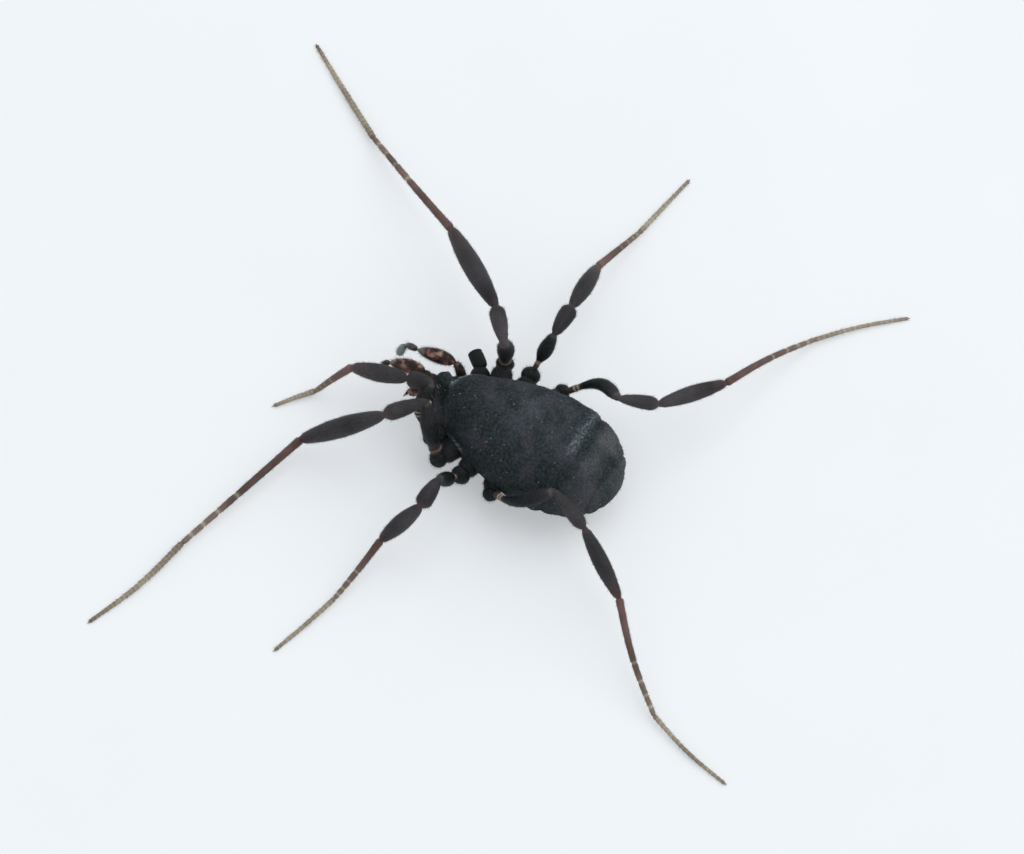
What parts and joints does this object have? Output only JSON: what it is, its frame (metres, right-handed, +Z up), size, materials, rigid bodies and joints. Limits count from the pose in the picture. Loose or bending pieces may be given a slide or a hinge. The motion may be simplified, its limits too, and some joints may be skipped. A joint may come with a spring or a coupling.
{
  "type": "harvestman",
  "caption": "Small black harvestman, a life-size still figure standing on long thin jointed legs, a front leg lost at its root.",
  "frame": {"origin": "on the floor, at the centre of the box round the whole animal, legs included; the body stands about 0.3 mm to its right and 0.6 mm behind it", "axes": "+Z up, -Y towards the head, +X towards the animal's left side"},
  "size_m": [0.0112, 0.012, 0.0017],
  "materials": {
    "shell": "satin",
    "leg": "satin",
    "foot": "satin",
    "mouthparts": "gloss",
    "palp_tip": "satin",
    "eye": "gloss"
  },
  "bodies": {
    "root": {"cephalothorax": "shell", "abdomen_scutum": "shell", "abdomen_rear": "shell", "eye_mound": "shell", "eye_left": "eye", "eye_right": "eye", "chelicera_left": "mouthparts", "chelicera_right": "mouthparts", "palp_left_femur": "mouthparts", "palp_left_patella": "mouthparts", "palp_left_tibia": "mouthparts", "palp_left_tarsus": "palp_tip", "palp_right_femur": "mouthparts", "palp_right_patella": "mouthparts", "palp_right_tibia": "mouthparts", "palp_right_tarsus": "palp_tip", "leg1_right_trochanter": "shell", "leg1_left_trochanter": "shell", "leg1_left_femur": "leg", "leg1_left_patella": "leg", "leg1_left_tibia": "leg", "leg1_left_metatarsus": "foot", "leg1_left_tarsus": "foot", "leg2_left_trochanter": "shell", "leg2_left_femur": "leg", "leg2_left_patella": "leg", "leg2_left_tibia": "leg", "leg2_left_metatarsus": "foot", "leg2_left_tarsus": "foot", "leg2_right_trochanter": "shell", "leg2_right_femur": "leg", "leg2_right_patella": "leg", "leg2_right_tibia": "leg", "leg2_right_metatarsus": "foot", "leg2_right_tarsus": "foot", "leg3_left_trochanter": "shell", "leg3_left_femur": "leg", "leg3_left_patella": "leg", "leg3_left_tibia": "leg", "leg3_left_metatarsus": "foot", "leg3_left_tarsus": "foot", "leg3_right_trochanter": "shell", "leg3_right_femur": "leg", "leg3_right_patella": "leg", "leg3_right_tibia": "leg", "leg3_right_metatarsus": "foot", "leg3_right_tarsus": "foot", "leg4_left_trochanter": "shell", "leg4_left_femur": "leg", "leg4_left_patella": "leg", "leg4_left_tibia": "leg", "leg4_left_metatarsus": "foot", "leg4_left_tarsus": "foot", "leg4_right_trochanter": "shell", "leg4_right_femur": "leg", "leg4_right_patella": "leg", "leg4_right_tibia": "leg", "leg4_right_metatarsus": "foot", "leg4_right_tarsus": "foot"}
  },
  "joints": []
}
